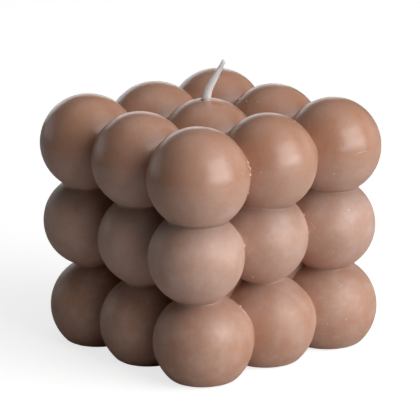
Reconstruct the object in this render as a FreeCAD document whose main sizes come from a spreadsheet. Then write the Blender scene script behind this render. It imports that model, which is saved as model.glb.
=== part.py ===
"""Cube candle: twenty-seven wax bubbles, three to a side, cast as one block on a cotton wick.

Frame: millimetres, +Z up, origin on the wick's axis at the centre of the flat base.
The wax was cast upside down, so its top layer is the fullest, the middle layer the leanest,
and the base layer was levelled off flat where the wax was poured in.
"""

import FreeCAD, Part
import math
import os

import Sketcher

PARTS_FOLDER = "parts"
SHEET = "sizes"

# Driving dimensions in millimetres and degrees, each one written once.
SIZES = {
    "top_bubble": (21.8, "diameter of the nine bubbles of the top layer"),
    "middle_bubble": (20.6, "diameter of the nine bubbles of the middle layer"),
    "base_bubble": (21.8, "diameter of the nine bubbles of the base layer"),
    "top_pitch": (19.1, "distance between bubble centres in the top layer"),
    "middle_pitch": (18.8, "distance between bubble centres in the middle layer"),
    "base_pitch": (18.2, "distance between bubble centres in the base layer"),
    "base_rise": (8.3, "height of the base layer's centres over the levelled base"),
    "lower_step": (19.5, "height from the base layer's centres to the middle layer's"),
    "upper_step": (17.3, "height from the middle layer's centres to the top layer's"),
    "core_inset": (3.4, "depth of the core's faces behind the outer bubbles' centres"),
    "wick_foot": (1.8, "diameter of the primed wick, and of its bore, where it leaves the wax"),
    "wick_tip": (1.1, "diameter of the wick at its free end"),
    "wick_rise": (0.8, "upright length of the wick over the wax"),
    "wick_bend": (6.0, "radius of the wick's bend"),
    "wick_lean": (27.0, "angle of the free end from upright"),
    "wick_free": (6.9, "straight length of the free end after the bend"),
    "wick_heading": (-39.7, "direction in which the wick leans, from +X towards +Y"),
    "sink_width": (0.5, "gap that the shrinking wax left beside the wick, at the surface"),
    "sink_depth": (1.1, "depth of that gap"),
}

LAYERS = ("base", "middle", "top")


def size(alias):
    """Return the expression that reads one driving dimension."""
    return f"{SHEET}.{alias}"


# Levels and offsets that follow from the driving dimensions.
LEVEL = {
    "base": size("base_rise"),
    "middle": f"{size('base_rise')} + {size('lower_step')}",
    "top": f"{size('base_rise')} + {size('lower_step')} + {size('upper_step')}",
}
WAX_TOP = f"({LEVEL['top']} + {size('top_bubble')} / 2)"
STEM_TOP = f"({WAX_TOP} + {size('wick_rise')})"
CORE_HALF = f"({size('top_pitch')} - {size('core_inset')})"


def make_sheet(doc):
    """Write the driving dimensions into a spreadsheet, one row each."""
    sheet = doc.addObject("Spreadsheet::Sheet", SHEET)
    for row, (alias, (value, meaning)) in enumerate(SIZES.items(), start=1):
        sheet.set(f"A{row}", meaning)
        sheet.set(f"B{row}", str(value))
        sheet.setAlias(f"B{row}", alias)
    doc.recompute()
    return sheet


def add(doc, kind, name, **expressions):
    """Add one object whose properties are bound to expressions.

    A double underscore in a keyword stands for the dot in a property's path.
    """
    item = doc.addObject(kind, name)
    for path, expression in expressions.items():
        item.setExpression(path.replace("__", "."), expression)
    return item


def make_bubble(doc, layer, column, row):
    """One bubble of the lattice; columns run along X and rows along Y, from -1 to 1.

    The ball is turned by an eighth of a turn, so that its seam lies between its neighbours.
    """
    pitch = size(f"{layer}_pitch")
    ball = add(
        doc, "Part::Sphere", f"{layer}_bubble_{column + 2}{row + 2}",
        Radius=f"{size(layer + '_bubble')} / 2",
        Placement__Base__x=f"{column} * {pitch}",
        Placement__Base__y=f"{row} * {pitch}",
        Placement__Base__z=LEVEL[layer],
    )
    ball.Placement.Rotation = FreeCAD.Rotation(FreeCAD.Vector(0, 0, 1), 45)
    return ball


def make_bubbles(doc):
    """The whole lattice, layer by layer, with as many bubbles a side as it has layers."""
    reach = len(LAYERS) // 2
    steps = range(-reach, reach + 1)
    return [make_bubble(doc, layer, column, row) for layer in LAYERS for row in steps for column in steps]


def make_core(doc):
    """The block inside the lattice, which closes the channels between four bubbles.

    The back of each neck between two outer bubbles is buried in it, so that nothing in the
    mould has to pass behind a neck. It reaches down to the base, where the wax was poured in,
    and stops under the top layer's centres by as much as it does behind those of the sides.
    """
    return add(
        doc, "Part::Box", "core",
        Length=f"2 * {CORE_HALF}",
        Width=f"2 * {CORE_HALF}",
        Height=f"{LEVEL['top']} - {size('core_inset')}",
        Placement__Base__x=f"-{CORE_HALF}",
        Placement__Base__y=f"-{CORE_HALF}",
    )


def make_base_trim(doc):
    """The block below the base plane that levels off the base layer."""
    reach = f"({size('base_pitch')} + {size('base_bubble')})"
    return add(
        doc, "Part::Box", "base_trim",
        Length=f"2 * {reach}",
        Width=f"2 * {reach}",
        Height=size("base_bubble"),
        Placement__Base__x=f"-{reach}",
        Placement__Base__y=f"-{reach}",
        Placement__Base__z=f"-{size('base_bubble')}",
    )


def make_wick_bore(doc):
    """The bore that the wick fills, from the base to the crown of the centre bubble."""
    return add(
        doc, "Part::Cylinder", "wick_bore",
        Radius=f"{size('wick_foot')} / 2",
        Height=WAX_TOP,
    )


def make_wick_sink(doc):
    """The small sink beside the wick, on the side away from its lean.

    It is a cone as wide as the bore at its bottom, opening towards the crown, and shifted
    against the lean so that the wick keeps touching the wax on the side it leans to.
    """
    shift = f"{size('sink_width')} / 2"
    return add(
        doc, "Part::Cone", "wick_sink",
        Radius1=f"{size('wick_foot')} / 2",
        Radius2=f"({size('wick_foot')} + {size('sink_width')}) / 2",
        Height=size("sink_depth"),
        Placement__Base__x=f"-{shift} * cos({size('wick_heading')})",
        Placement__Base__y=f"-{shift} * sin({size('wick_heading')})",
        Placement__Base__z=f"{WAX_TOP} - {size('sink_depth')}",
    )


def make_wax_body(doc):
    """The cast block: bubbles and core in one, levelled at the base and bored for the wick."""
    lattice = doc.addObject("Part::MultiFuse", "lattice")
    lattice.Shapes = make_bubbles(doc) + [make_core(doc)]
    lattice.Refine = True

    hollows = doc.addObject("Part::MultiFuse", "hollows")
    hollows.Shapes = [make_base_trim(doc), make_wick_bore(doc), make_wick_sink(doc)]

    wax = doc.addObject("Part::Cut", "wax_body")
    wax.Base = lattice
    wax.Tool = hollows
    wax.Refine = True
    wax.Label = "wax_body"
    return wax


def make_wick_path(doc):
    """The centre line of the wick's free end: round the bend and out along the lean.

    The sketch lies in the upright plane of the lean, its X along the heading and its Y up,
    with its origin at the top of the upright stem.
    """
    path = doc.addObject("Sketcher::SketchObject", "wick_path")
    path.setExpression("Placement.Base.z", STEM_TOP)
    path.setExpression("Placement.Rotation", f"rotationz({size('wick_heading')}) * rotationx(90)")

    # First positions, close to the solved ones, so that the tangency keeps its side.
    radius, lean, free = (SIZES[key][0] for key in ("wick_bend", "wick_lean", "wick_free"))
    turn = math.radians(lean)
    centre = FreeCAD.Vector(radius, 0, 0)
    shoulder = centre + FreeCAD.Vector(-radius * math.cos(turn), radius * math.sin(turn), 0)
    tip = shoulder + FreeCAD.Vector(free * math.sin(turn), free * math.cos(turn), 0)
    circle = Part.Circle(centre, FreeCAD.Vector(0, 0, 1), radius)
    bend = path.addGeometry(Part.ArcOfCircle(circle, math.pi - turn, math.pi), False)
    end = path.addGeometry(Part.LineSegment(shoulder, tip), False)

    origin, first, last, middle = -1, 1, 2, 3
    path.addConstraint(Sketcher.Constraint("Coincident", bend, last, origin, first))
    path.addConstraint(Sketcher.Constraint("PointOnObject", bend, middle, origin))
    path.addConstraint(Sketcher.Constraint("Tangent", bend, first, end, first))
    sized = {
        "bend_radius": (Sketcher.Constraint("Radius", bend, radius), size("wick_bend")),
        "free_length": (Sketcher.Constraint("Distance", end, free), size("wick_free")),
        "slope": (Sketcher.Constraint("Angle", end, math.pi / 2 - turn), f"(90 - {size('wick_lean')}) * 1 deg"),
    }
    for name, (constraint, expression) in sized.items():
        path.renameConstraint(path.addConstraint(constraint), name)
        path.setExpression(f"Constraints.{name}", expression)
    return path


def make_wick_ring(doc, name, diameter, reach, level, tilt):
    """One round section of the wick's free end, square to its centre line."""
    return add(
        doc, "Part::Circle", name,
        Radius=f"{diameter} / 2",
        Placement__Base__x=f"{reach} * cos({size('wick_heading')})",
        Placement__Base__y=f"{reach} * sin({size('wick_heading')})",
        Placement__Base__z=level,
        Placement__Rotation=f"rotationz({size('wick_heading')}) * rotationy({tilt})",
    )


def make_wick(doc):
    """The primed cotton wick: an upright stem held in the wax, and a leaning, thinner free end."""
    stem = add(doc, "Part::Cylinder", "wick_stem", Radius=f"{size('wick_foot')} / 2", Height=STEM_TOP)

    lean = size("wick_lean")
    tip_reach = f"({size('wick_bend')} * (1 - cos({lean})) + {size('wick_free')} * sin({lean}))"
    tip_level = f"{STEM_TOP} + {size('wick_bend')} * sin({lean}) + {size('wick_free')} * cos({lean})"
    free_end = doc.addObject("Part::Sweep", "wick_free_end")
    free_end.Sections = [
        make_wick_ring(doc, "stem_ring", size("wick_foot"), "0", STEM_TOP, "0"),
        make_wick_ring(doc, "tip_ring", size("wick_tip"), tip_reach, tip_level, lean),
    ]
    free_end.Spine = (make_wick_path(doc), ["Edge1", "Edge2"])
    free_end.Solid = True
    free_end.Frenet = False

    wick = doc.addObject("Part::MultiFuse", "wick")
    wick.Shapes = [stem, free_end]
    wick.Refine = True
    wick.Label = "wick"
    return wick


def check_document(doc, sub_parts):
    """Stop if an object failed to compute or a sub-part isn't one valid solid."""
    for item in doc.Objects:
        if "Invalid" in item.State or "Error" in item.State:
            raise RuntimeError(f"{item.Name} failed to compute: {item.State}")
    for item in sub_parts:
        if item.Shape.isNull() or not item.Shape.isValid():
            raise RuntimeError(f"{item.Label} has no valid shape")
        if len(item.Shape.Solids) != 1:
            raise RuntimeError(f"{item.Label} is {len(item.Shape.Solids)} solids, not one")


def write_parts(sub_parts):
    """Write each sub-part's solid to a file of its own, named by its label."""
    os.makedirs(PARTS_FOLDER, exist_ok=True)
    for item in sub_parts:
        item.Shape.exportStep(os.path.join(PARTS_FOLDER, f"{item.Label}.step"))
        print(f"{item.Label}: volume {item.Shape.Volume:.1f} mm3, {len(item.Shape.Faces)} faces")


def main():
    """Build the candle and write its two pieces."""
    doc = FreeCAD.newDocument("cube_candle")
    make_sheet(doc)
    sub_parts = [make_wax_body(doc), make_wick(doc)]
    doc.recompute()
    check_document(doc, sub_parts)
    write_parts(sub_parts)


main()
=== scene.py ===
"""Cube candle: twenty-seven cast wax bubbles on a primed cotton wick, dressed around its solids.

Metres, +Z up, origin on the wick's axis at the centre of the flat base.
"""

import logging
import math
from dataclasses import dataclass, field
from enum import Enum
from typing import Any, Iterable, Optional, Sequence, Union

import bmesh
import bpy
import numpy as np
from mathutils import Matrix, Vector, noise


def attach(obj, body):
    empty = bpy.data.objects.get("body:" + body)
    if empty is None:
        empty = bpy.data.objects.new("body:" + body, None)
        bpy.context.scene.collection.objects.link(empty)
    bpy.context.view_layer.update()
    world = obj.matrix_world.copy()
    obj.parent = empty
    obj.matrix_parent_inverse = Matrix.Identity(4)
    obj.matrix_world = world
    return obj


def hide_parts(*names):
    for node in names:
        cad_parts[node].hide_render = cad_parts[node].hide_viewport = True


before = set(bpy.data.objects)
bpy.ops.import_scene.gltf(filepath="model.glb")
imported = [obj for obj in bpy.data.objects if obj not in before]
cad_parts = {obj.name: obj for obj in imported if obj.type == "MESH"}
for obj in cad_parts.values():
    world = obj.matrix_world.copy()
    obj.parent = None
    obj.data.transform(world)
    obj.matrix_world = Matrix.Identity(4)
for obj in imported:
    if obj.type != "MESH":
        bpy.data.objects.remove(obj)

MM = 0.001
ROOT = "root"
WAX_NODE = "wax_body"
WICK_NODE = "wick"
FRAME_PIXELS = 420
CONE_SEGMENTS = 48

log = logging.getLogger("cube_candle")

Colour = tuple[float, float, float]
Span = tuple[float, float]
Points = np.ndarray


# The photograph's view, which places all that is given as the camera sees it.


@dataclass(frozen=True)
class Viewpoint:
    """Where the photograph was taken from, in degrees and metres, its lens and aim in pixels."""

    azimuth: float = -39.72
    elevation: float = 16.55
    roll: float = -1.09
    distance: float = 0.6123
    aim_height: float = 0.0278
    focal_pixels: float = 2743.95
    aim_right: float = 1.16
    aim_down: float = 10.21

    @property
    def towards(self) -> Points:
        """Find the way from the candle to the camera.

        Returns:
            A unit vector.
        """
        turn, rise = math.radians(self.azimuth), math.radians(self.elevation)
        level = math.cos(rise)
        return np.array([math.sin(turn) * level, -math.cos(turn) * level, math.sin(rise)])

    @property
    def right(self) -> Points:
        """Direction to the right of the picture, before the roll."""
        turn = math.radians(self.azimuth)
        return np.array([math.cos(turn), math.sin(turn), 0.0])

    @property
    def up(self) -> Points:
        """Direction up the picture, before the roll."""
        return np.cross(self.towards, self.right)

    @property
    def place(self) -> Points:
        """Where the camera stands."""
        return np.array([0.0, 0.0, self.aim_height]) + self.distance * self.towards

    def frame_of(self, point: Points) -> tuple[Points, Points, Points]:
        """Directions right, up and towards the camera, as seen at one point.

        Args:
            point: a place on the candle.

        Returns:
            Three unit vectors square to each other, the last one along the line of sight.
        """
        towards = self.place - point
        towards /= np.linalg.norm(towards)
        lean = math.radians(self.roll)
        right = math.cos(lean) * self.right + math.sin(lean) * self.up
        up = np.cross(towards, right)
        up /= np.linalg.norm(up)
        return np.cross(up, towards), up, towards


VIEW = Viewpoint()


# Mesh helpers.


@dataclass
class Soup:
    """Vertices and faces gathered patch by patch, with shared borders still doubled."""

    points: list[Points] = field(default_factory=list)
    faces: list[Points] = field(default_factory=list)
    count: int = 0

    def add(self, points: Points, faces: Points) -> None:
        """Take in one patch.

        Args:
            points: its vertices, one a row.
            faces: its faces, which count from its own first vertex.
        """
        self.points.append(points)
        self.faces.append(faces + self.count)
        self.count += len(points)

    def add_strip(self, rings: Points, closed: bool = True, flip: bool = False) -> None:
        """Take in a strip of quads between successive rings.

        Args:
            rings: array of rings, each a row of points.
            closed: whether the last point of a ring joins the first.
            flip: whether to turn the faces round.
        """
        row_count, ring_count = rings.shape[:2]
        columns = np.arange(ring_count if closed else ring_count - 1)
        following = (columns + 1) % ring_count
        rows = np.arange(row_count - 1)[:, None] * ring_count
        next_rows = rows + ring_count
        corners = [rows + columns, rows + following, next_rows + following, next_rows + columns]
        quads = np.stack(corners, axis=-1).reshape(-1, 4)
        self.add(rings.reshape(-1, 3), quads[:, ::-1] if flip else quads)

    def to_mesh(self, name: str, weld: float = 1e-6) -> bpy.types.Mesh:
        """Make one mesh, with the doubled borders welded.

        Args:
            name: the mesh's name.
            weld: distance under which two vertices are one, in metres.

        Returns:
            The mesh.
        """
        mesh = bpy.data.meshes.new(name)
        faces = [row.tolist() for block in self.faces for row in block]
        mesh.from_pydata(np.concatenate(self.points).tolist(), [], faces)
        work = bmesh.new()
        work.from_mesh(mesh)
        bmesh.ops.remove_doubles(work, verts=work.verts, dist=weld)
        work.to_mesh(mesh)
        work.free()
        mesh.update()
        return mesh


def place_object(name: str, data: bpy.types.ID) -> bpy.types.Object:
    """Link a new object at the origin.

    Args:
        name: the object's name.
        data: the mesh, light or camera that it carries.

    Returns:
        The object.
    """
    item = bpy.data.objects.new(name, data)
    bpy.context.scene.collection.objects.link(item)
    return item


def smooth(mesh: bpy.types.Mesh, crease_degrees: float) -> None:
    """Shade a mesh smooth, apart from edges sharper than the given angle."""
    mesh.polygons.foreach_set("use_smooth", [True] * len(mesh.polygons))
    mesh.set_sharp_from_angle(angle=math.radians(crease_degrees))


def coordinates(mesh: bpy.types.Mesh) -> Points:
    """Read all vertices of a mesh.

    Args:
        mesh: the mesh.

    Returns:
        Its vertices, one a row.
    """
    flat = np.empty(len(mesh.vertices) * 3)
    mesh.vertices.foreach_get("co", flat)
    return flat.reshape(-1, 3)


def unit(vectors: Points) -> Points:
    """Vectors at length one, whatever the array's shape."""
    return vectors / np.linalg.norm(vectors, axis=-1, keepdims=True)


def split_many_sided(mesh: bpy.types.Mesh, most_sides: int = 4) -> None:
    """Cut the faces with many sides into well shaped triangles.

    Args:
        mesh: the mesh that changes.
        most_sides: how many sides a face may keep.
    """
    work = bmesh.new()
    work.from_mesh(mesh)
    many_sided = [face for face in work.faces if len(face.verts) > most_sides]
    bmesh.ops.triangulate(work, faces=many_sided, ngon_method="BEAUTY")
    work.to_mesh(mesh)
    work.free()
    mesh.update()


def block_mesh(name: str, low: Sequence[float], high: Sequence[float]) -> bpy.types.Mesh:
    """Make a box between two corners, used to join or cut and never shown by itself.

    Args:
        name: the mesh's name.
        low: its lowest corner.
        high: its highest corner.

    Returns:
        The mesh.
    """
    mesh = bpy.data.meshes.new(name)
    work = bmesh.new()
    bmesh.ops.create_cube(work, size=1.0)
    centre = (Vector(low) + Vector(high)) / 2
    span = Vector(high) - Vector(low)
    for vertex in work.verts:
        vertex.co = centre + Vector([vertex.co[k] * span[k] for k in range(3)])
    work.to_mesh(mesh)
    work.free()
    return mesh


def cone_mesh(name: str, centre: Vector, depth: float, foot: float, mouth: float) -> bpy.types.Mesh:
    """Make an upright cone or cylinder, used to cut and never shown by itself.

    Args:
        name: the mesh's name.
        centre: the middle of its axis.
        depth: its height.
        foot: the radius of its lower end.
        mouth: the radius of its upper end.

    Returns:
        The mesh.
    """
    mesh = bpy.data.meshes.new(name)
    work = bmesh.new()
    bmesh.ops.create_cone(
        work, cap_ends=True, segments=CONE_SEGMENTS, radius1=foot, radius2=mouth,
        depth=depth, matrix=Matrix.Translation(centre),
    )
    work.to_mesh(mesh)
    work.free()
    return mesh


class Join(Enum):
    """How one solid acts on another."""

    UNION = "UNION"
    DIFFERENCE = "DIFFERENCE"


def combine(target: bpy.types.Object, tool: bpy.types.Mesh, how: Join) -> None:
    """Join a solid to an object's mesh, or cut it from there, and keep the result.

    Args:
        target: the object whose mesh changes.
        tool: the other solid, which is removed afterwards.
        how: whether it is added or taken away.
    """
    other = place_object("tool", tool)
    modifier = target.modifiers.new("join", "BOOLEAN")
    modifier.operation = how.value
    modifier.solver = "MANIFOLD"
    modifier.object = other
    bpy.context.view_layer.update()
    shaped = target.evaluated_get(bpy.context.evaluated_depsgraph_get())
    result = bpy.data.meshes.new_from_object(shaped)
    result.name = target.data.name
    target.modifiers.clear()
    target.data = result
    bpy.data.objects.remove(other)


# Shader helpers.


Value = Union[float, "Socket"]

# The Mix node has sockets for each type of data. These are the places of those for colours.
MIX_FIRST = 6
MIX_SECOND = 7
MIX_RESULT = 2


class Socket:
    """One output of a node, which sums, differences and products can be written with."""

    def __init__(self, dresser: "Dresser", socket: Optional[bpy.types.NodeSocket]) -> None:
        """Keep the socket, which an output node lacks, and the material that it belongs to."""
        self.dresser = dresser
        self.socket = socket

    def _math(self, operation: str, *values: Value) -> "Socket":
        """Add one Math node."""
        return self.dresser.node("ShaderNodeMath", {"operation": operation}, dict(enumerate(values)))

    def __add__(self, other: Value) -> "Socket":
        """Sum."""
        return self._math("ADD", self, other)

    __radd__ = __add__

    def __sub__(self, other: Value) -> "Socket":
        """Difference."""
        return self._math("SUBTRACT", self, other)

    def __rsub__(self, other: Value) -> "Socket":
        """Difference from a number."""
        return self._math("SUBTRACT", other, self)

    def __mul__(self, other: Value) -> "Socket":
        """Product."""
        return self._math("MULTIPLY", self, other)

    __rmul__ = __mul__


@dataclass
class Dresser:
    """Builds the nodes of one material or world."""

    tree: bpy.types.NodeTree

    def node(
        self,
        kind: str,
        settings: Optional[dict[str, Any]] = None,
        inputs: Optional[dict[Union[int, str], Any]] = None,
        output: Union[int, str] = 0,
    ) -> Socket:
        """Add one node, set it up and fill its sockets.

        Args:
            kind: the node's type.
            settings: its properties, set before its sockets.
            inputs: a value or a Socket for each input, by name or place.
            output: which output to give back.

        Returns:
            That output.
        """
        made = self.tree.nodes.new(kind)
        for key, value in (settings or {}).items():
            setattr(made, key, value)
        for key, value in (inputs or {}).items():
            if isinstance(value, Socket):
                self.tree.links.new(value.socket, made.inputs[key])
            else:
                made.inputs[key].default_value = value
        return Socket(self, made.outputs[output] if made.outputs else None)

    def mix(self, factor: Value, first: Any, second: Any) -> Socket:
        """Blend two colours."""
        inputs = {"Factor": factor, MIX_FIRST: _rgba(first), MIX_SECOND: _rgba(second)}
        return self.node("ShaderNodeMix", {"data_type": "RGBA"}, inputs, output=MIX_RESULT)

    def noise(self, where: Socket, scale: float, detail: float = 2.0, roughness: float = 0.5) -> Socket:
        """Fractal noise from 0 to 1, with its scale in cycles a metre."""
        inputs = {"Vector": where, "Scale": scale, "Detail": detail, "Roughness": roughness}
        return self.node("ShaderNodeTexNoise", None, inputs)

    def band(self, value: Socket, low: float, high: float) -> Socket:
        """Smooth step of a value from 0 at low to 1 at high."""
        inputs = {"Value": value, "From Min": low, "From Max": high}
        return self.node("ShaderNodeMapRange", {"interpolation_type": "SMOOTHSTEP"}, inputs)

    def bump(self, height: Socket, strength: float, distance: float) -> Socket:
        """A normal that follows a height from 0 to 1, where 1 stands for the distance."""
        inputs = {"Strength": strength, "Distance": distance, "Height": height}
        return self.node("ShaderNodeBump", None, inputs)

    def surface_place(self) -> Socket:
        """The place on the object, in metres."""
        return self.node("ShaderNodeTexCoord", output="Object")

    def finish(self, shader: Socket) -> None:
        """Send a shader to the output."""
        self.node("ShaderNodeOutputMaterial", None, {"Surface": shader})


def _rgba(colour: Any) -> Any:
    """A colour with its alpha, or the Socket that gives one."""
    return colour if isinstance(colour, Socket) else (*colour, 1.0)


def new_material(name: str) -> tuple[bpy.types.Material, Dresser]:
    """Make an empty material.

    Args:
        name: the material's name.

    Returns:
        The material and the dresser that fills it.
    """
    material = bpy.data.materials.new(name)
    material.use_nodes = True
    material.node_tree.nodes.clear()
    return material, Dresser(material.node_tree)


@dataclass(frozen=True)
class WaxFinish:
    """Dyed candle wax: satin, faintly translucent, with pale bloom in clouds over it, and with painted
    shade that darkens its colour below each layer of necks.

    Lengths and heights over the base are in metres, and scales in cycles a metre. A span holds
    the values at which a mask is 0 and 1.
    """

    name: str = "wax"
    deep: Colour = (0.49, 0.262, 0.172)
    bloom: Colour = (0.635, 0.448, 0.38)
    roughness: float = 0.28
    rough_frost: float = 0.18
    specular: float = 0.66
    bleed: float = 0.0007
    bleed_colours: Colour = (1.0, 0.7, 0.55)
    cloud_scale: float = 70.0
    cloud_span: Span = (0.38, 0.68)
    cloud_share: float = 0.16
    mottle_scale: float = 217.0
    mottle_span: Span = (0.35, 0.75)
    edge_scale: float = 112.0
    edge_wander: float = 0.001
    frost_top: float = 0.0469
    frost_sharp_end: float = 0.0461
    frost_soft_end: float = 0.0390
    frost_sharp_share: float = 0.25
    frost_share: float = 0.32
    frost_mottle: float = 0.42
    base_span: Span = (0.021, 0.015)
    base_mottle: float = 0.48
    # Painted shade below the necks: the neck heights, how much darker the colour gets at each, the reach
    # over which it fades out below, and how far above the neck it ends.
    necks: tuple[float, float] = (0.01835, 0.0361)
    painted_shade_depths: tuple[float, float] = (0.2, 0.3)
    painted_shade_reach: float = 0.006
    painted_shade_overlap: float = 0.0005
    grain_scale: float = 900.0
    grain_swing: float = 0.14
    grain_least: float = 0.93
    relief: float = 0.00012
    relief_scale: float = 1400.0
    relief_strength: float = 0.35

    def frost(self, dress: Dresser, where: Socket, height: Socket) -> Socket:
        """Mask the bloom: none above its wavering edge, and full some way below it.

        Args:
            dress: the material under way.
            where: the place on the wax.
            height: its height over the base.

        Returns:
            The mask.
        """
        edge = dress.noise(where, self.edge_scale) * self.edge_wander + height
        sharp = dress.band(edge, self.frost_top, self.frost_sharp_end)
        soft = dress.band(edge, self.frost_top, self.frost_soft_end)
        return sharp * self.frost_sharp_share + soft * (1 - self.frost_sharp_share)

    def paleness(self, dress: Dresser, where: Socket, height: Socket, frost: Socket) -> Socket:
        """Spread the bloom: faint clouds all over, and mottled frost on the lower layers.

        Args:
            dress: the material under way.
            where: the place on the wax.
            height: its height over the base.
            frost: the bloom's mask.

        Returns:
            How far the colour turns from the deep one to that of the bloom.
        """
        clouds = dress.band(dress.noise(where, self.cloud_scale, detail=3.0), *self.cloud_span)
        specks = dress.noise(where, self.mottle_scale, detail=4.0, roughness=0.6)
        mottling = dress.band(specks, *self.mottle_span)
        lower = dress.band(height, *self.base_span)
        upper_share = frost * (1 - lower) * (mottling * self.frost_mottle + self.frost_share)
        return clouds * self.cloud_share + upper_share + lower * mottling * self.base_mottle

    def painted_shade_below(self, dress: Dresser, height: Socket, neck: float, shade: float) -> Socket:
        """Painted shade: how much darker the colour is drawn towards one layer of necks, from below,
        standing in for the shadow of the bubbles above.
        """
        below = dress.band(height, neck - self.painted_shade_reach, neck)
        return below * dress.band(height, neck + self.painted_shade_overlap, neck) * shade

    def grain_and_painted_shade(self, dress: Dresser, where: Socket, height: Socket) -> Socket:
        """Vary the colour by a fine grain, and darken it below the necks with painted shade, where the
        upper bubbles shade the lower ones.

        Args:
            dress: the material under way.
            where: the place on the wax.
            height: its height over the base.

        Returns:
            The factor on the colour.
        """
        # Painted shade: darker bands below each layer of necks, standing in for the shadow that each
        # upper bubble casts on the one beneath.
        painted_shade_levels = zip(self.necks, self.painted_shade_depths)
        low_painted_shade, high_painted_shade = (self.painted_shade_below(dress, height, neck, shade) for neck, shade in painted_shade_levels)
        grain = dress.noise(where, self.grain_scale) * self.grain_swing + self.grain_least
        return grain * (1 - low_painted_shade - high_painted_shade)

    def build(self) -> bpy.types.Material:
        """Make the material.

        Returns:
            The material.
        """
        material, dress = new_material(self.name)
        where = dress.surface_place()
        height = dress.node("ShaderNodeSeparateXYZ", None, {0: where}, output="Z")
        frost = self.frost(dress, where, height)
        tone = dress.mix(self.paleness(dress, where, height, frost), self.deep, self.bloom)
        # The colour is scaled by the grain and by the painted shade below the necks.
        scaling = {0: tone, "Scale": self.grain_and_painted_shade(dress, where, height)}
        ripple = dress.noise(where, self.relief_scale, detail=3.0)
        shader = dress.node(
            "ShaderNodeBsdfPrincipled", {"subsurface_method": "RANDOM_WALK"},
            {
                "Base Color": dress.node("ShaderNodeVectorMath", {"operation": "SCALE"}, scaling),
                "Roughness": frost * self.rough_frost + self.roughness,
                "Specular IOR Level": self.specular,
                "Subsurface Weight": 1.0,
                "Subsurface Radius": self.bleed_colours,
                "Subsurface Scale": self.bleed,
                "Normal": dress.bump(ripple, self.relief_strength, self.relief),
            },
        )
        dress.finish(shader)
        return material


@dataclass(frozen=True)
class CottonFinish:
    """Bleached cotton stiffened with wax, with fibres that run upright along its strands."""

    name: str = "wick"
    pale: Colour = (0.97, 0.965, 0.95)
    shade: Colour = (0.92, 0.905, 0.88)
    shade_share: float = 0.5
    roughness: float = 0.55
    rough_fibre: float = 0.15
    bleed: float = 0.006
    bleed_colours: Colour = (1.0, 0.95, 0.9)
    fibre_scale: float = 5200.0
    fibre_upright: float = 0.16
    fibre_span: Span = (0.62, 0.36)
    relief: float = 0.00004
    relief_strength: float = 0.4

    def build(self) -> bpy.types.Material:
        """Make the material.

        Returns:
            The material.
        """
        material, dress = new_material(self.name)
        stretch = {"Vector": dress.surface_place(), "Scale": (1.0, 1.0, self.fibre_upright)}
        along = dress.node("ShaderNodeMapping", None, stretch)
        fibres = dress.noise(along, self.fibre_scale, detail=3.0, roughness=0.6)
        shaded = dress.band(fibres, *self.fibre_span) * self.shade_share
        shader = dress.node(
            "ShaderNodeBsdfPrincipled", None,
            {
                "Base Color": dress.mix(shaded, self.pale, self.shade),
                "Roughness": fibres * self.rough_fibre + self.roughness,
                "Subsurface Weight": 1.0,
                "Subsurface Radius": self.bleed_colours,
                "Subsurface Scale": self.bleed,
                "Normal": dress.bump(fibres, self.relief_strength, self.relief),
            },
        )
        dress.finish(shader)
        return material


@dataclass(frozen=True)
class FlashFinish:
    """Thin wax that has turned pale, as crumbs, grains and scratches do."""

    name: str = "pale_wax"
    pale: Colour = (0.80, 0.66, 0.58)
    dull: Colour = (0.58, 0.38, 0.29)
    roughness: float = 0.5
    rough_patch: float = 0.1
    bleed_weight: float = 0.4
    bleed: float = 0.0002
    bleed_colours: Colour = (1.0, 0.7, 0.5)
    patch_scale: float = 2600.0
    patch_span: Span = (0.35, 0.65)

    def build(self) -> bpy.types.Material:
        """Make the material.

        Returns:
            The material.
        """
        material, dress = new_material(self.name)
        patches = dress.band(dress.noise(dress.surface_place(), self.patch_scale), *self.patch_span)
        shader = dress.node(
            "ShaderNodeBsdfPrincipled", None,
            {
                "Base Color": dress.mix(patches, self.dull, self.pale),
                "Roughness": patches * self.rough_patch + self.roughness,
                "Subsurface Weight": self.bleed_weight,
                "Subsurface Radius": self.bleed_colours,
                "Subsurface Scale": self.bleed,
            },
        )
        dress.finish(shader)
        return material


# The wax.


class Layer(Enum):
    """The three layers of the casting, as it stands."""

    BASE = 0
    MIDDLE = 1
    TOP = 2


# The nine stacks of bubbles by column and row, named as the camera sees them.
FRONT, LEFT_MIDDLE, LEFT, RIGHT_MIDDLE, RIGHT = (-1, -1), (-1, 0), (-1, 1), (0, -1), (1, -1)
CENTRE, BACK_LEFT, BACK_RIGHT, BACK = (0, 0), (0, 1), (1, 0), (1, 1)


@dataclass(frozen=True)
class LayerCast:
    """Sizes of one layer, and how far it has shifted as a whole."""

    level: float
    pitch: float
    radius: float
    drift: tuple[float, float] = (0.0, 0.0)


@dataclass(frozen=True)
class Lean:
    """How far one bubble stands from the even lattice: aside as the camera sees it, and up."""

    column: tuple[int, int]
    layer: Layer
    right: float
    up: float
    swell: float = 0.0


@dataclass(frozen=True)
class WickSeat:
    """Where the wick stands in the centre bubble, from the candle's axis."""

    right: float = -0.45 * MM
    front: float = 0.4 * MM
    radius: float = 0.9 * MM
    heading: float = -39.7

    @property
    def place(self) -> Points:
        """The wick's axis at the base."""
        front = np.array([VIEW.towards[0], VIEW.towards[1], 0.0])
        return self.right * VIEW.right + self.front * unit(front)

    @property
    def lean(self) -> Points:
        """The level direction in which the free end leans."""
        turn = math.radians(self.heading)
        return np.array([math.cos(turn), math.sin(turn), 0.0])


SEAT = WickSeat()


@dataclass
class Bubble:
    """One bubble of the lattice, at its place in the grid."""

    column: int
    row: int
    layer: Layer
    centre: Points
    radius: float

    @property
    def key(self) -> tuple[int, int, int]:
        """Its place in the grid as three whole numbers."""
        return self.column, self.row, self.layer.value


AXES = np.eye(3)


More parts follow.
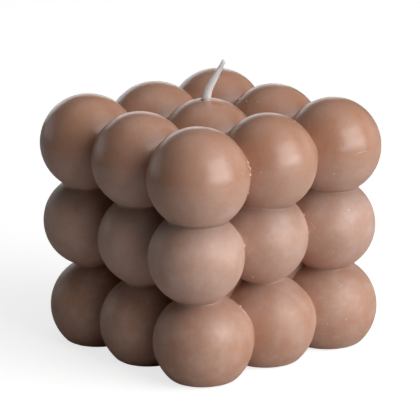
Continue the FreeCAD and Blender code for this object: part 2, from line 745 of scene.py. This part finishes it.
@dataclass
class Neck:
    """The rounded neck where two bubbles run into each other."""

    first: Bubble
    second: Bubble
    axis: int
    fillet: float

    def rings(self, owner: Bubble, angles: Points, arc_steps: int) -> tuple[Points, Points]:
        """The half of the neck that belongs to one of its bubbles.

        Args:
            owner: the bubble from which the neck is seen.
            angles: where on the ring each column of vertices lies.
            arc_steps: how many rows the fillet has on this side.

        Returns:
            Directions from the owner's centre to the ring where its sphere ends, and the rings
            of the fillet from there to the waist.
        """
        line = self.second.centre - self.first.centre
        length = np.linalg.norm(line)
        line = line / length
        first_tangent = AXES[(self.axis + 1) % 3]
        across = unit(first_tangent - (first_tangent @ line) * line)
        beside = np.cross(line, across)
        radial = np.cos(angles)[:, None] * across + np.sin(angles)[:, None] * beside
        reach_first = self.first.radius + self.fillet
        reach_second = self.second.radius + self.fillet
        along = (length**2 + reach_first**2 - reach_second**2) / (2 * length)
        ring_radius = math.sqrt(reach_first**2 - along**2)
        middle = self.first.centre + along * line + ring_radius * radial
        start = unit(owner.centre - middle)
        sweep = np.linspace(0.0, 1.0, arc_steps + 1)
        arc = middle + self.fillet * slerp(start, -radial, sweep)
        return unit(arc[0] - owner.centre), arc


def slerp(start: Points, end: Points, shares: Points) -> Points:
    """Unit vectors that turn evenly from start to end.

    Args:
        start: unit vectors, one a row.
        end: as many unit vectors.
        shares: how far each step has turned, from 0 to 1.

    Returns:
        An array with one block of rows for each share.
    """
    angle = np.arccos(np.clip(np.sum(start * end, axis=-1), -1, 1))[None, :, None]
    shares = shares[:, None, None]
    return (np.sin((1 - shares) * angle) * start + np.sin(shares * angle) * end) / np.sin(angle)


@dataclass
class WaxBody:
    """The cast block of bubbles, with its core, its flat base and the well of its wick."""

    base: LayerCast = LayerCast(8.3 * MM, 18.2 * MM, 10.9 * MM)
    middle: LayerCast = LayerCast(27.8 * MM, 18.8 * MM, 10.35 * MM, drift=(-0.55 * MM, 0.45 * MM))
    top: LayerCast = LayerCast(45.1 * MM, 19.1 * MM, 10.9 * MM)
    leans: tuple[Lean, ...] = (
        Lean(FRONT, Layer.TOP, -0.1 * MM, -0.05 * MM, 0.15 * MM),
        Lean(LEFT_MIDDLE, Layer.TOP, -0.4 * MM, 0.2 * MM, -0.2 * MM),
        Lean(LEFT, Layer.TOP, 0.0, 0.7 * MM, -0.1 * MM),
        Lean(RIGHT_MIDDLE, Layer.TOP, 0.35 * MM, -0.05 * MM, -0.2 * MM),
        Lean(RIGHT, Layer.TOP, 0.25 * MM, 0.15 * MM, -0.2 * MM),
        Lean(CENTRE, Layer.TOP, -0.5 * MM, -0.3 * MM),
        Lean(BACK_LEFT, Layer.TOP, 0.0, 0.1 * MM, 0.05 * MM),
        Lean(BACK_RIGHT, Layer.TOP, -0.35 * MM, -0.35 * MM),
        Lean(BACK, Layer.TOP, -0.7 * MM, 0.0),
        Lean(FRONT, Layer.MIDDLE, -0.2 * MM, -0.3 * MM, 0.05 * MM),
        Lean(LEFT_MIDDLE, Layer.MIDDLE, 0.65 * MM, -0.3 * MM, 0.05 * MM),
        Lean(RIGHT_MIDDLE, Layer.MIDDLE, -0.5 * MM, 0.5 * MM),
        Lean(RIGHT, Layer.MIDDLE, 0.2 * MM, -0.5 * MM, 0.15 * MM),
        Lean(FRONT, Layer.BASE, 0.15 * MM, -0.05 * MM),
        Lean(LEFT_MIDDLE, Layer.BASE, -0.1 * MM, -0.15 * MM),
        Lean(LEFT, Layer.BASE, 0.0, -0.3 * MM, 0.05 * MM),
        Lean(RIGHT_MIDDLE, Layer.BASE, -0.05 * MM, 0.1 * MM, 0.05 * MM),
        Lean(RIGHT, Layer.BASE, 0.1 * MM, 0.0, 0.1 * MM),
    )
    neck_fillet: float = 0.35 * MM
    core_inset: float = 3.4 * MM
    core_drop: float = 4 * MM
    well_spare: float = 1 * MM
    sink_width: float = 0.5 * MM
    sink_depth: float = 1.1 * MM
    face_steps: int = 22
    neck_rows: int = 8
    arc_steps: int = 3
    neck_grading: float = 1.6
    edge_softness: float = 0.6 * MM
    wave_height: float = 0.06 * MM
    wave_scale: float = 95.0
    wave_start: float = 2 * MM
    crease: float = 38.0

    @property
    def crown(self) -> float:
        """Height of the top layer's crowns, where the wick leaves the wax."""
        return self.top.level + self.top.radius

    def casts(self) -> dict[Layer, LayerCast]:
        """The sizes of the layers by layer."""
        return {Layer.BASE: self.base, Layer.MIDDLE: self.middle, Layer.TOP: self.top}

    def bubbles(self) -> dict[tuple[int, int, int], Bubble]:
        """Place the even layers, and then move each bubble by its own lean.

        Returns:
            All bubbles by their places in the grid.
        """
        found = {}
        for layer, cast in self.casts().items():
            for row in (-1, 0, 1):
                for column in (-1, 0, 1):
                    aside, back = cast.drift
                    centre = np.array([column * cast.pitch + aside, row * cast.pitch + back, cast.level])
                    bubble = Bubble(column, row, layer, centre, cast.radius)
                    found[bubble.key] = bubble
        for lean in self.leans:
            bubble = found[(*lean.column, lean.layer.value)]
            bubble.centre += lean.right * VIEW.right + lean.up * AXES[2]
            bubble.radius += lean.swell
        return found

    def border(self) -> tuple[Points, Points]:
        """The border of one face of a cube drawn on a sphere.

        Returns:
            Two coordinates of each border point on the cube's face, and its angle there.
        """
        steps = np.tan(np.linspace(-1, 1, self.face_steps + 1)[:-1] * math.pi / 4)
        ones = np.ones_like(steps)
        sides = [(ones, steps), (-steps, ones), (-ones, -steps), (steps, -ones)]
        flat = np.concatenate([np.stack(side, axis=-1) for side in sides])
        return flat, np.arctan2(flat[:, 1], flat[:, 0])

    def add_open_face(self, soup: Soup, bubble: Bubble, axis: int, sign: int) -> None:
        """Add the sixth of a sphere that has no neighbour.

        Args:
            soup: the skin under way.
            bubble: the bubble that it belongs to.
            axis: the axis along which it looks.
            sign: which way it looks, -1 or 1.
        """
        steps = np.tan(np.linspace(-1, 1, self.face_steps + 1) * math.pi / 4)
        across, beside = np.meshgrid(steps, steps)
        first, second = AXES[(axis + 1) % 3], AXES[(axis + 2) % 3]
        grid = sign * AXES[axis] + across[..., None] * first + beside[..., None] * second
        soup.add_strip(bubble.centre + bubble.radius * unit(grid), closed=False, flip=sign < 0)

    def add_neck_face(self, soup: Soup, bubble: Bubble, neck: Neck, sign: int) -> None:
        """Add the sixth of a sphere that runs into a neighbour, up to the neck's waist.

        Args:
            soup: the skin under way.
            bubble: the bubble that it belongs to.
            neck: the neck between the two bubbles.
            sign: which way along the neck's axis the neighbour lies, -1 or 1.
        """
        flat, angles = self.border()
        first, second = AXES[(neck.axis + 1) % 3], AXES[(neck.axis + 2) % 3]
        rim = unit(sign * AXES[neck.axis] + flat[:, :1] * first + flat[:, 1:] * second)
        edge, arc = neck.rings(bubble, angles, self.arc_steps)
        shares = 1 - (1 - np.linspace(0, 1, self.neck_rows + 1)) ** self.neck_grading
        sphere = bubble.centre + bubble.radius * slerp(rim, edge, shares)
        soup.add_strip(np.concatenate([sphere, arc[1:]]), flip=sign < 0)

    def lattice(self) -> bpy.types.Mesh:
        """Make the closed skin of all bubbles and their necks.

        Returns:
            The mesh.
        """
        soup = Soup()
        bubbles = self.bubbles()
        for key, bubble in bubbles.items():
            for axis in range(3):
                for sign in (-1, 1):
                    beyond = list(key)
                    beyond[axis] += sign
                    neighbour = bubbles.get(tuple(beyond))
                    if neighbour is None:
                        self.add_open_face(soup, bubble, axis, sign)
                        continue
                    pair = (bubble, neighbour) if sign > 0 else (neighbour, bubble)
                    neck = Neck(*pair, axis, self.neck_fillet)
                    self.add_neck_face(soup, bubble, neck, sign)
        return soup.to_mesh("lattice")

    def wave(self, mesh: bpy.types.Mesh) -> None:
        """Move each vertex along its normal by a slow, slight unevenness, as castings have.

        The base stays flat.

        Args:
            mesh: the mesh that changes.
        """
        places = coordinates(mesh)
        normals = np.empty(len(mesh.vertices) * 3)
        mesh.vertex_normals.foreach_get("vector", normals)
        waves = np.array([noise.noise(Vector(place) * self.wave_scale) for place in places])
        free = np.clip(places[:, 2] / self.wave_start, 0, 1)
        moved = places + normals.reshape(-1, 3) * (waves * self.wave_height * free)[:, None]
        mesh.vertices.foreach_set("co", moved.ravel())
        mesh.update()

    def soften_base(self, mesh: bpy.types.Mesh) -> None:
        """Press the low stretch of each bubble flat, so that it rounds off into the base.

        Heights from -s to s, s being the softness, are drawn to 0 to s, level at their low end.

        Args:
            mesh: the mesh that changes.
        """
        places = coordinates(mesh)
        heights, soft = places[:, 2], self.edge_softness
        pressed = (np.maximum(heights, -soft) + soft) ** 2 / (4 * soft)
        places[:, 2] = np.where(heights < soft, pressed, heights)
        mesh.vertices.foreach_set("co", places.ravel())
        mesh.update()

    def well_mesh(self) -> bpy.types.Mesh:
        """The wick's well, through the whole height and a little beyond."""
        centre = Vector(SEAT.place) + Vector((0, 0, self.crown / 2))
        return cone_mesh("well", centre, self.crown + 2 * self.well_spare, SEAT.radius, SEAT.radius)

    def sink_mesh(self) -> bpy.types.Mesh:
        """Make the small cone that the shrinking wax left beside the wick.

        Returns:
            The mesh.
        """
        shift, depth = self.sink_width / 2, self.sink_depth
        centre = Vector(SEAT.place - shift * SEAT.lean) + Vector((0, 0, self.crown - depth / 2))
        return cone_mesh("sink", centre, depth, SEAT.radius, SEAT.radius + shift)

    def build(self, finish: bpy.types.Material) -> bpy.types.Object:
        """Make the wax, dressed and riding on the root.

        Args:
            finish: the wax's material.

        Returns:
            The object that stands for the wax solid.
        """
        item = place_object("wax_bubbles", self.lattice())
        half = self.top.pitch - self.core_inset
        core_top = self.top.level - self.core_inset
        core = block_mesh("core", (-half, -half, -self.core_drop), (half, half, core_top))
        combine(item, core, Join.UNION)
        reach = self.base.pitch + 2 * self.base.radius
        trim = block_mesh("trim", (-reach, -reach, -reach), (reach, reach, -self.edge_softness))
        for cut in (trim, self.well_mesh(), self.sink_mesh()):
            combine(item, cut, Join.DIFFERENCE)
        split_many_sided(item.data)
        self.soften_base(item.data)
        self.wave(item.data)
        smooth(item.data, self.crease)
        item.data.materials.clear()
        item.data.materials.append(finish)
        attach(item, ROOT)
        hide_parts(WAX_NODE)
        return item


# The small marks of casting.


class MarkKind(Enum):
    """What a mark is."""

    GRAIN = "a pale grain of wax on the surface"
    CRUMB = "a rough crumb left where the mould was cut"
    RING = "the rim of a burst air bubble"
    LINE = "a fine raised line, left by a scratch or a crease in the mould"


@dataclass(frozen=True)
class Mark:
    """One mark, placed on its bubble as the camera sees it.

    Its place is in shares of the bubble's radius, and so is that of a line's end. Its size is
    in metres.
    """

    kind: MarkKind
    bubble: tuple[int, int, int]
    right: float
    up: float
    size: float
    end: Optional[tuple[float, float]] = None


def mark(
    kind: MarkKind, column: tuple[int, int], layer: Layer, right: float, up: float, size: float,
    end: Optional[tuple[float, float]] = None,
) -> Mark:
    """A mark on the bubble of one column and layer, its size in millimetres."""
    return Mark(kind, (*column, layer.value), right, up, size * MM, end)


@dataclass(frozen=True)
class Lump:
    """The form of a grain or a crumb, whose size is its half length.

    Breadth and flatness are its width and height as shares of its length. Its middle is lifted
    off the wax by a share of its half height, and its surface wanders by a share of its size.
    """

    roughness: float
    flatness: float
    breadth: float = 0.8
    lift: float = 0.3
    wander_scale: float = 1.7
    wander_step: float = 900.0


@dataclass
class CastingMarks:
    """Grains, crumbs, rims and lines that the casting left on the wax."""

    bubbles: dict[tuple[int, int, int], Bubble]
    marks: tuple[Mark, ...] = (
        mark(MarkKind.GRAIN, FRONT, Layer.TOP, 0.57, 0.29, 0.24),
        mark(MarkKind.RING, FRONT, Layer.TOP, 0.32, 0.66, 0.26),
        mark(MarkKind.GRAIN, FRONT, Layer.TOP, -0.11, 0.80, 0.16),
        mark(MarkKind.CRUMB, FRONT, Layer.TOP, 0.95, 0.30, 0.30),
        mark(MarkKind.CRUMB, FRONT, Layer.TOP, 0.98, 0.19, 0.36),
        mark(MarkKind.CRUMB, FRONT, Layer.TOP, 0.99, 0.06, 0.30),
        mark(MarkKind.CRUMB, FRONT, Layer.TOP, 0.96, -0.28, 0.20),
        mark(MarkKind.GRAIN, FRONT, Layer.TOP, 0.83, 0.10, 0.17),
        mark(MarkKind.GRAIN, FRONT, Layer.TOP, 0.84, -0.03, 0.15),
        mark(MarkKind.GRAIN, RIGHT_MIDDLE, Layer.TOP, -0.14, -0.20, 0.16),
        mark(MarkKind.GRAIN, RIGHT_MIDDLE, Layer.TOP, 0.72, -0.22, 0.15),
        mark(MarkKind.GRAIN, RIGHT_MIDDLE, Layer.TOP, 0.69, -0.68, 0.26),
        mark(MarkKind.GRAIN, RIGHT, Layer.TOP, -0.47, 0.47, 0.16),
        mark(MarkKind.GRAIN, RIGHT, Layer.TOP, 0.02, -0.58, 0.20),
        mark(MarkKind.LINE, RIGHT, Layer.TOP, 0.43, -0.20, 0.07, end=(0.70, -0.12)),
        mark(MarkKind.GRAIN, RIGHT, Layer.TOP, 0.75, -0.10, 0.18),
        mark(MarkKind.GRAIN, RIGHT, Layer.TOP, 0.33, 0.49, 0.13),
        mark(MarkKind.GRAIN, RIGHT, Layer.TOP, 0.58, 0.61, 0.13),
        mark(MarkKind.CRUMB, BACK_RIGHT, Layer.TOP, -0.69, 0.66, 0.30),
        mark(MarkKind.GRAIN, BACK_RIGHT, Layer.TOP, -0.54, 0.62, 0.20),
        mark(MarkKind.GRAIN, BACK_RIGHT, Layer.TOP, -0.32, 0.61, 0.16),
        mark(MarkKind.GRAIN, LEFT_MIDDLE, Layer.TOP, 0.00, 0.76, 0.18),
        mark(MarkKind.GRAIN, LEFT_MIDDLE, Layer.TOP, -0.76, 0.24, 0.15),
        mark(MarkKind.GRAIN, LEFT_MIDDLE, Layer.TOP, 0.20, 0.45, 0.14),
        mark(MarkKind.RING, LEFT, Layer.TOP, -0.79, 0.04, 0.30),
        mark(MarkKind.CRUMB, FRONT, Layer.MIDDLE, 0.99, 0.24, 0.42),
        mark(MarkKind.CRUMB, RIGHT_MIDDLE, Layer.MIDDLE, 0.90, 0.44, 0.30),
        mark(MarkKind.CRUMB, RIGHT_MIDDLE, Layer.MIDDLE, 0.99, 0.08, 0.24),
        mark(MarkKind.GRAIN, RIGHT_MIDDLE, Layer.MIDDLE, -0.16, -0.86, 0.22),
        mark(MarkKind.LINE, RIGHT, Layer.MIDDLE, -0.38, 0.02, 0.05, end=(-0.27, -0.14)),
        mark(MarkKind.GRAIN, RIGHT, Layer.MIDDLE, 0.43, 0.28, 0.18),
        mark(MarkKind.GRAIN, RIGHT, Layer.MIDDLE, 0.11, -0.59, 0.16),
        mark(MarkKind.GRAIN, LEFT, Layer.MIDDLE, 0.21, -0.88, 0.16),
        mark(MarkKind.GRAIN, LEFT_MIDDLE, Layer.BASE, -0.14, 0.46, 0.20),
        mark(MarkKind.GRAIN, LEFT_MIDDLE, Layer.BASE, -0.03, 0.38, 0.16),
        mark(MarkKind.CRUMB, FRONT, Layer.BASE, 0.73, 0.68, 0.34),
        mark(MarkKind.LINE, FRONT, Layer.BASE, 0.75, 0.65, 0.12, end=(0.86, 0.49)),
        mark(MarkKind.GRAIN, FRONT, Layer.BASE, -0.47, 0.65, 0.18),
        mark(MarkKind.LINE, RIGHT, Layer.BASE, 0.22, 0.30, 0.08, end=(0.33, 0.40)),
        mark(MarkKind.LINE, RIGHT, Layer.BASE, -0.22, 0.12, 0.05, end=(-0.06, 0.12)),
        mark(MarkKind.GRAIN, RIGHT, Layer.BASE, 0.38, -0.30, 0.18),
        mark(MarkKind.GRAIN, RIGHT, Layer.BASE, 0.00, -0.40, 0.15),
        mark(MarkKind.GRAIN, RIGHT, Layer.BASE, 0.66, -0.60, 0.20),
    )
    grain: Lump = Lump(roughness=0.25, flatness=0.45)
    crumb: Lump = Lump(roughness=0.55, flatness=0.7)
    line_bow: float = 0.02
    line_end: float = 0.04
    rim_share: float = 0.16
    steps: int = 14
    around: int = 10
    crease: float = 70.0

    def way(self, bubble: Bubble, right: float, up: float) -> Points:
        """Find a spot that the camera sees on a bubble.

        Args:
            bubble: the bubble.
            right: how far right of its middle the spot is, as a share of its radius.
            up: how far above its middle, likewise.

        Returns:
            The direction from the bubble's centre to the spot.
        """
        rightwards, upwards, towards = VIEW.frame_of(bubble.centre)
        depth = math.sqrt(max(0.0, 1 - right**2 - up**2))
        return unit(right * rightwards + up * upwards + depth * towards)

    def add_lump(self, work: bmesh.types.BMesh, spot: Mark, form: Lump) -> None:
        """Add a grain or a crumb, sunk by about a third into the wax.

        Args:
            work: the mesh under way.
            spot: the mark.
            form: its form.
        """
        bubble = self.bubbles[spot.bubble]
        out = Vector(self.way(bubble, spot.right, spot.up))
        centre = Vector(bubble.centre) + out * (bubble.radius + spot.size * form.flatness * form.lift)
        made = bmesh.ops.create_icosphere(work, subdivisions=3, radius=1.0)
        turn = out.to_track_quat("Z", "Y").to_matrix()
        for vertex in made["verts"]:
            wander = noise.noise(vertex.co * form.wander_scale + centre * form.wander_step)
            swell = 1 + form.roughness * wander
            local = Vector((vertex.co.x, vertex.co.y * form.breadth, vertex.co.z * form.flatness))
            vertex.co = centre + turn @ (local * swell * spot.size)

    def add_tube(self, work: bmesh.types.BMesh, line: Points, radii: Points, closed: bool) -> None:
        """Add a thin tube along a line that lies on the wax.

        Args:
            work: the mesh under way.
            line: the points of its centre line, one a row.
            radii: its radius at each point.
            closed: whether the last point joins the first.
        """
        following = np.roll(line, -1, axis=0)
        if not closed:
            following[-1] = 2 * line[-1] - line[-2]
        angles = [2 * math.pi * k / self.around for k in range(self.around)]
        rings = []
        for point, after, radius in zip(line, following, radii):
            ahead = Vector(after - point).normalized()
            across = side - side.project(ahead) if rings else ahead.orthogonal()
            side = across.normalized()
            beside = ahead.cross(side)
            spokes = [side * math.cos(angle) + beside * math.sin(angle) for angle in angles]
            rings.append([work.verts.new(Vector(point) + spoke * radius) for spoke in spokes])
        pairs = zip(rings, rings[1:] + rings[:1]) if closed else zip(rings, rings[1:])
        for first, second in pairs:
            for k in range(self.around):
                after = (k + 1) % self.around
                work.faces.new((first[k], first[after], second[after], second[k]))
        if not closed:
            work.faces.new(rings[0][::-1])
            work.faces.new(rings[-1])

    def add_line(self, work: bmesh.types.BMesh, spot: Mark) -> None:
        """Add a fine raised line from one spot to another, bowed a little, with thin ends.

        Args:
            work: the mesh under way.
            spot: the mark.
        """
        bubble = self.bubbles[spot.bubble]
        start, end = self.way(bubble, spot.right, spot.up), self.way(bubble, *spot.end)
        shares = np.linspace(0, 1, self.steps)
        across = np.cross(start, end)
        bow = self.line_bow * np.sin(math.pi * shares)[:, None] * across / np.linalg.norm(across)
        ways = unit(start * (1 - shares)[:, None] + end * shares[:, None] + bow)
        inner = np.clip(shares, self.line_end, 1 - self.line_end)
        taper = np.sqrt(np.clip(np.sin(math.pi * inner), 0, 1))
        self.add_tube(work, bubble.centre + ways * bubble.radius, spot.size * taper, closed=False)

    def add_ring(self, work: bmesh.types.BMesh, spot: Mark) -> None:
        """Add the rim of a burst air bubble.

        Args:
            work: the mesh under way.
            spot: the mark.
        """
        bubble = self.bubbles[spot.bubble]
        out = Vector(self.way(bubble, spot.right, spot.up))
        side = out.orthogonal().normalized()
        beside = out.cross(side)
        count = 2 * self.steps
        line = []
        for k in range(count):
            angle = 2 * math.pi * k / count
            place = out * bubble.radius + (side * math.cos(angle) + beside * math.sin(angle)) * spot.size
            line.append(np.array(Vector(bubble.centre) + place.normalized() * bubble.radius))
        self.add_tube(work, np.array(line), np.full(count, spot.size * self.rim_share), closed=True)

    def build(self, finish: bpy.types.Material) -> bpy.types.Object:
        """Make all marks as one piece, dressed and riding on the root.

        Args:
            finish: the marks' material.

        Returns:
            The object.
        """
        lumps = {MarkKind.GRAIN: self.grain, MarkKind.CRUMB: self.crumb}
        work = bmesh.new()
        for spot in self.marks:
            if spot.kind is MarkKind.LINE:
                self.add_line(work, spot)
            elif spot.kind is MarkKind.RING:
                self.add_ring(work, spot)
            else:
                self.add_lump(work, spot, lumps[spot.kind])
        bmesh.ops.recalc_face_normals(work, faces=work.faces)
        mesh = bpy.data.meshes.new("casting_marks")
        work.to_mesh(mesh)
        work.free()
        smooth(mesh, self.crease)
        mesh.materials.append(finish)
        item = place_object("casting_marks", mesh)
        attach(item, ROOT)
        return item


# The wick.


@dataclass
class Wick:
    """The cotton wick: a braid held upright in the wax, whose free end leans and tapers."""

    # Reach along the lean, height and radius in millimetres, from the base to the free end.
    line: tuple[tuple[float, float, float], ...] = (
        (0.0, 0.0, 0.89),
        (0.0, 28.0, 0.89),
        (0.0, 52.0, 0.89),
        (0.0, 55.4, 0.89),
        (0.02, 56.0, 0.95),
        (0.28, 57.4, 0.89),
        (1.25, 59.5, 0.80),
        (2.30, 61.3, 0.66),
        (3.25, 63.0, 0.55),
        (4.00, 64.6, 0.44),
    )
    strands: int = 3
    braid_pitch: float = 3.4 * MM
    braid_relief: float = 0.08
    around: int = 48
    along: int = 420
    least_dome: float = 0.02
    weld: float = 1e-7
    crease: float = 60.0

    def centre_line(self) -> tuple[Points, Points]:
        """The smooth line through the given points.

        Returns:
            Points along it, evenly spaced, and the radius at each.
        """
        knots = np.array(self.line) * MM
        lengths = lengths_along(knots[:, :2])
        places = np.linspace(0, lengths[-1], self.along)
        reach, height, radii = (hermite(lengths, knots[:, k], places) for k in range(3))
        return SEAT.place + reach[:, None] * SEAT.lean + height[:, None] * AXES[2], radii

    def braid(self, angles: Points, travelled: Points) -> Points:
        """Lay the strands, half of which wind to the left and half to the right.

        Args:
            angles: where round the wick each column of vertices lies.
            travelled: how far along the wick each row lies.

        Returns:
            How far a strand stands out at each vertex, from -1 to 1.
        """
        wave = 2 * math.pi * travelled[:, None] / self.braid_pitch
        left = np.cos(self.strands * angles[None, :] + wave)
        right = np.cos(self.strands * angles[None, :] - wave)
        return np.maximum(left, right)

    def surface(self) -> tuple[Points, Points]:
        """Lay braided rings round the centre line.

        Returns:
            The rings, each a row of points, and their centres.
        """
        centres, radii = self.centre_line()
        tangents = unit(np.gradient(centres, axis=0))
        side = np.cross(AXES[2], SEAT.lean)
        inward = np.cross(tangents, side)
        travelled = lengths_along(centres)
        angles = np.linspace(0, 2 * math.pi, self.around, endpoint=False)
        relief = 1 - self.braid_relief * (1 - self.braid(angles, travelled)) / 2
        # The end is rounded off over its last stretch, and the foot is cut square.
        left_over = (travelled[-1] - travelled) / radii
        dome = np.sqrt(np.clip(1 - (1 - np.clip(left_over, 0, 1)) ** 2, 0.0, 1))
        spread = radii[:, None] * relief * np.maximum(dome, self.least_dome)[:, None]
        ring = np.cos(angles)[None, :, None] * side + np.sin(angles)[None, :, None] * inward[:, None, :]
        return centres[:, None, :] + spread[..., None] * ring, centres

    def add_cap(self, soup: Soup, ring: Points, hub: Points, flip: bool) -> None:
        """Close one end of the wick.

        Args:
            soup: the skin under way.
            ring: the points of the ring at that end.
            hub: the point in its middle.
            flip: whether to turn the faces round.
        """
        columns = np.arange(self.around)
        middle = np.full(self.around, self.around)
        faces = np.stack([columns, (columns + 1) % self.around, middle], axis=-1)
        soup.add(np.concatenate([ring, hub[None, :]]), faces[:, ::-1] if flip else faces)

    def build(self, finish: bpy.types.Material) -> bpy.types.Object:
        """Make the wick, dressed and riding on the root.

        Args:
            finish: the cotton's material.

        Returns:
            The object that stands for the wick solid.
        """
        rings, centres = self.surface()
        soup = Soup()
        soup.add_strip(rings)
        self.add_cap(soup, rings[0], centres[0], flip=True)
        self.add_cap(soup, rings[-1], centres[-1], flip=False)
        mesh = soup.to_mesh("wick_braid", weld=self.weld)
        smooth(mesh, self.crease)
        mesh.materials.append(finish)
        item = place_object("wick_braid", mesh)
        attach(item, ROOT)
        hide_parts(WICK_NODE)
        return item


def lengths_along(line: Points) -> Points:
    """How far along a line each of its points lies."""
    steps = np.linalg.norm(np.diff(line, axis=0), axis=1)
    return np.concatenate([[0], np.cumsum(steps)])


def hermite(knots: Points, values: Points, places: Points) -> Points:
    """Read a smooth curve through given values.

    Args:
        knots: where the values are given, in rising order.
        values: the value at each knot.
        places: where the curve is read.

    Returns:
        The curve's value at each place.
    """
    slopes = np.gradient(values, knots)
    index = np.clip(np.searchsorted(knots, places, side="right") - 1, 0, len(knots) - 2)
    span = knots[index + 1] - knots[index]
    share = (places - knots[index]) / span
    rise = share**2 * (3 - 2 * share)
    early = share * (1 - share) ** 2 * span
    late = share**2 * (share - 1) * span
    between = values[index] * (1 - rise) + values[index + 1] * rise
    return between + slopes[index] * early + slopes[index + 1] * late


# The studio.


@dataclass(frozen=True)
class Lamp:
    """A soft panel of light that faces the candle.

    Its way leads from the candle to the lamp, by shares to the right, up and towards the
    camera. Its distance and its width and height are in metres.
    """

    name: str
    way: tuple[float, float, float]
    distance: float
    size: tuple[float, float]
    radiance: float

    def build(self) -> None:
        """Hang the panel."""
        width, height = self.size
        light = bpy.data.lights.new(self.name, "AREA")
        light.shape = "RECTANGLE"
        light.size = width
        light.size_y = height
        light.energy = self.radiance * math.pi * width * height
        item = place_object(self.name, light)
        right, up, towards = self.way
        way = Vector(unit(right * VIEW.right + up * VIEW.up + towards * VIEW.towards))
        item.location = Vector((0.0, 0.0, VIEW.aim_height)) + way * self.distance
        item.rotation_euler = way.to_track_quat("Z", "Y").to_euler()


@dataclass
class Studio:
    """The pale floor, the white surround, the lamps and the camera."""

    lamps: tuple[Lamp, ...] = (
        Lamp("window", way=(0.736, 0.27, 0.62), distance=1.1, size=(1.0, 0.85), radiance=3.3),
        Lamp("skylight", way=(0.55, 0.68, 0.48), distance=1.3, size=(1.4, 1.0), radiance=1.1),
        Lamp("low_panel", way=(0.76, -0.03, 0.65), distance=1.3, size=(1.8, 0.5), radiance=2.1),
        Lamp("ceiling", way=(0.0, 1.0, 0.05), distance=1.2, size=(1.0, 1.0), radiance=0.5),
        Lamp("left_back", way=(-0.2, 0.4, -0.9), distance=1.2, size=(0.9, 0.6), radiance=1.5),
        Lamp("left_rim", way=(-0.88, 0.12, -0.45), distance=1.2, size=(0.9, 1.0), radiance=0.6),
        Lamp("right_back", way=(0.85, 0.2, -0.45), distance=1.2, size=(0.8, 1.0), radiance=0.7),
    )
    sensor_millimetres: float = 36.0
    nearest: float = 0.01
    surround_gloss: float = 0.1
    floor_size: float = 6.0
    floor_albedo: float = 0.5
    floor_glow: float = 0.75

    def camera(self) -> None:
        """Set up the photograph's view."""
        lens = bpy.data.cameras.new("camera")
        lens.sensor_width = self.sensor_millimetres
        lens.lens = VIEW.focal_pixels / FRAME_PIXELS * self.sensor_millimetres
        lens.shift_x = -VIEW.aim_right / FRAME_PIXELS
        lens.shift_y = VIEW.aim_down / FRAME_PIXELS
        lens.clip_start = self.nearest
        item = place_object("camera", lens)
        lean = math.radians(VIEW.roll)
        right = math.cos(lean) * VIEW.right + math.sin(lean) * VIEW.up
        up = math.cos(lean) * VIEW.up - math.sin(lean) * VIEW.right
        columns = Matrix((right, up, VIEW.towards)).transposed()
        item.matrix_world = Matrix.Translation(VIEW.place) @ columns.to_4x4()
        bpy.context.scene.camera = item

    @staticmethod
    def seen(dress: Dresser, level: float, mirrored: float) -> Socket:
        """Give one level to rays from the camera and another to mirrored ones.

        All other rays get nothing, so that this sheds no light on the candle but gloss.

        Args:
            dress: the material or world under way.
            level: the level that the camera sees.
            mirrored: the level that glossy surfaces mirror.

        Returns:
            The level.
        """
        direct = dress.node("ShaderNodeLightPath", output="Is Camera Ray")
        glossy = dress.node("ShaderNodeLightPath", output="Is Glossy Ray")
        return direct * level + glossy * mirrored

    def surround(self) -> None:
        """Surround the candle with white that the camera sees and the wax mirrors faintly."""
        world = bpy.data.worlds.new("surround")
        world.use_nodes = True
        world.node_tree.nodes.clear()
        dress = Dresser(world.node_tree)
        strength = self.seen(dress, 1.0, self.surround_gloss)
        white = _rgba((1.0, 1.0, 1.0))
        shader = dress.node("ShaderNodeBackground", None, {"Color": white, "Strength": strength})
        dress.node("ShaderNodeOutputWorld", None, {"Surface": shader})
        bpy.context.scene.world = world

    def floor(self) -> None:
        """A pale floor that shows white and keeps the candle's shadow."""
        mesh = bpy.data.meshes.new("floor")
        half = self.floor_size / 2
        corners = [(-half, -half, 0), (half, -half, 0), (half, half, 0), (-half, half, 0)]
        mesh.from_pydata(corners, [], [(0, 1, 2, 3)])
        material, dress = new_material("floor")
        matte = dress.node("ShaderNodeBsdfDiffuse", None, {"Color": _rgba((self.floor_albedo,) * 3)})
        strength = self.seen(dress, self.floor_glow, 0.0)
        glow = dress.node("ShaderNodeEmission", None, {"Strength": strength})
        dress.finish(dress.node("ShaderNodeAddShader", None, {0: matte, 1: glow}))
        mesh.materials.append(material)
        place_object("floor", mesh)

    def build(self) -> None:
        """Set up the whole studio."""
        bpy.context.scene.view_settings.view_transform = "Standard"
        for lamp in self.lamps:
            lamp.build()
        self.floor()
        self.surround()
        self.camera()


def main() -> None:
    """Build the candle and the studio, and log each piece's vertex and face counts."""
    logging.basicConfig(level=logging.INFO, format="%(name)s: %(message)s")
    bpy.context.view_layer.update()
    wax = WaxBody()
    pieces = [
        wax.build(WaxFinish().build()),
        CastingMarks(wax.bubbles()).build(FlashFinish().build()),
        Wick().build(CottonFinish().build()),
    ]
    for piece in pieces:
        mesh = piece.data
        log.info("%s: %d vertices, %d faces", piece.name, len(mesh.vertices), len(mesh.polygons))
    Studio().build()


if __name__ == "__main__":
    main()
